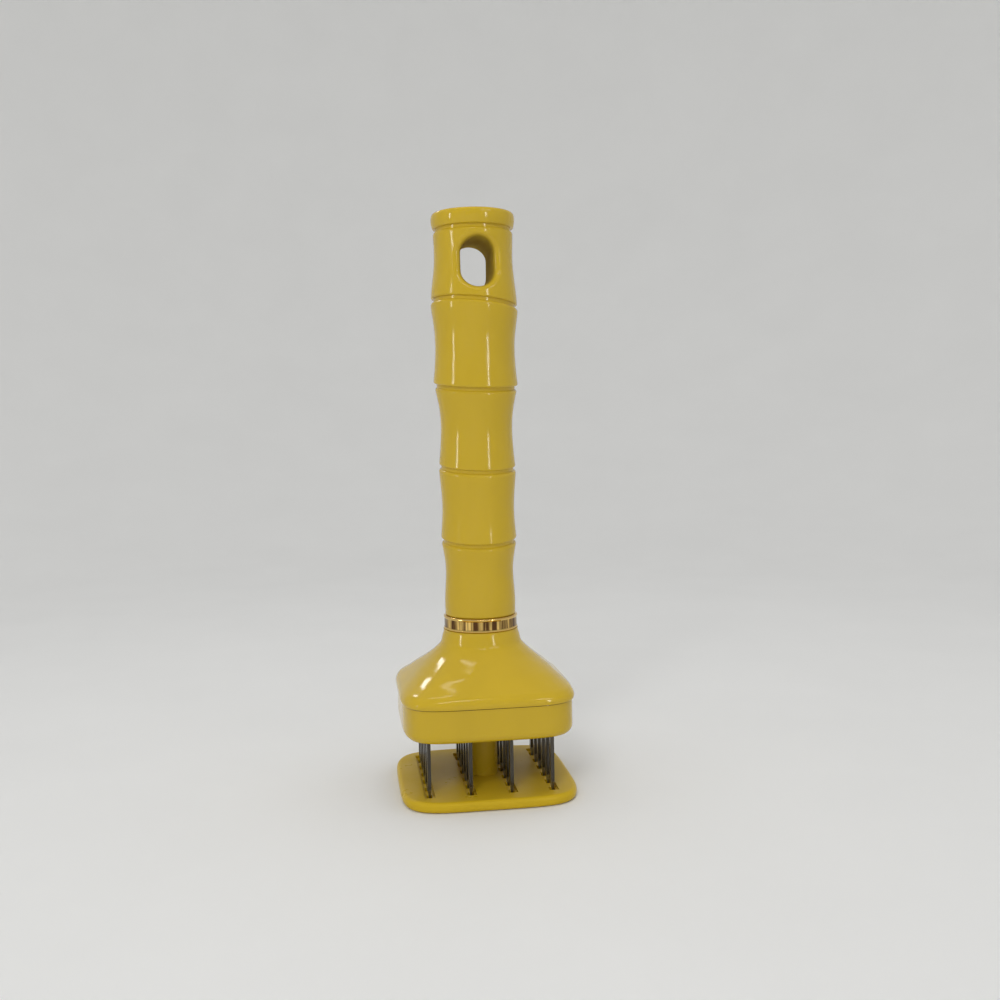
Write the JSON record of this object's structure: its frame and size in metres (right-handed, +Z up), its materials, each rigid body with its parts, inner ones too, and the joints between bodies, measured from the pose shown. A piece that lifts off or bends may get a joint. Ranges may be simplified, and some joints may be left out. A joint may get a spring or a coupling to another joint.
{
  "type": "blade meat tenderizer",
  "caption": "Hand press meat tenderizer with a bamboo-shaped handle, a square head of flat steel blades and a spring-loaded guard plate that slides up to bare the points.",
  "frame": {"origin": "centre of the guard plate's underside, at the middle of the tool's base, with the guard fully extended", "axes": "+Z up along the handle, -Y towards the front face seen in the picture, +X to its right"},
  "size_m": [0.0606, 0.061, 0.1996],
  "materials": {
    "handle_plastic": "warm yellow glossy moulded ABS",
    "cap_plastic": "warm yellow glossy moulded ABS",
    "cover_plastic": "warm yellow glossy moulded ABS",
    "base_plastic": "warm yellow glossy moulded ABS",
    "guard_plastic": "warm yellow moulded ABS, glossy on its rim",
    "post_plastic": "warm yellow moulded acetal, lightly greased",
    "clamp_plastic": "yellow moulded ABS, as moulded",
    "gold_plating": "mirror-bright gold plating",
    "blade_steel": "ground stainless steel strip",
    "spring_steel": "drawn spring wire",
    "screw_steel": "zinc-plated steel"
  },
  "bodies": {
    "tool": {"handle": "handle_plastic", "end_cap": "cap_plastic", "gold_ring": "gold_plating", "neck_screws": "screw_steel", "head_cover": "cover_plastic", "head_base": "base_plastic", "blade_clamp": "clamp_plastic", "base_screws": "screw_steel", "blade_c1_r1": "blade_steel", "blade_c1_r2": "blade_steel", "blade_c1_r3": "blade_steel", "blade_c1_r4": "blade_steel", "blade_c1_r5": "blade_steel", "blade_c1_r6": "blade_steel", "blade_c2_r1": "blade_steel", "blade_c2_r2": "blade_steel", "blade_c2_r3": "blade_steel", "blade_c2_r4": "blade_steel", "blade_c2_r5": "blade_steel", "blade_c2_r6": "blade_steel", "blade_c3_r1": "blade_steel", "blade_c3_r2": "blade_steel", "blade_c3_r3": "blade_steel", "blade_c3_r4": "blade_steel", "blade_c3_r5": "blade_steel", "blade_c3_r6": "blade_steel", "blade_c4_r1": "blade_steel", "blade_c4_r2": "blade_steel", "blade_c4_r3": "blade_steel", "blade_c4_r4": "blade_steel", "blade_c4_r5": "blade_steel", "blade_c4_r6": "blade_steel", "return_spring": "spring_steel"},
    "guard": {"guide_post": "post_plastic", "guard_plate": "guard_plastic", "guard_screw": "screw_steel"}
  },
  "joints": [
    {"name": "guard_slide", "type": "slide", "parent": "tool", "child": "guard", "axis": [0, 0, 1], "range_m": [0, 0.019], "stiffness_N_per_m": 700, "springref_m": -0.0236, "deforming": ["return_spring"]}
  ]
}
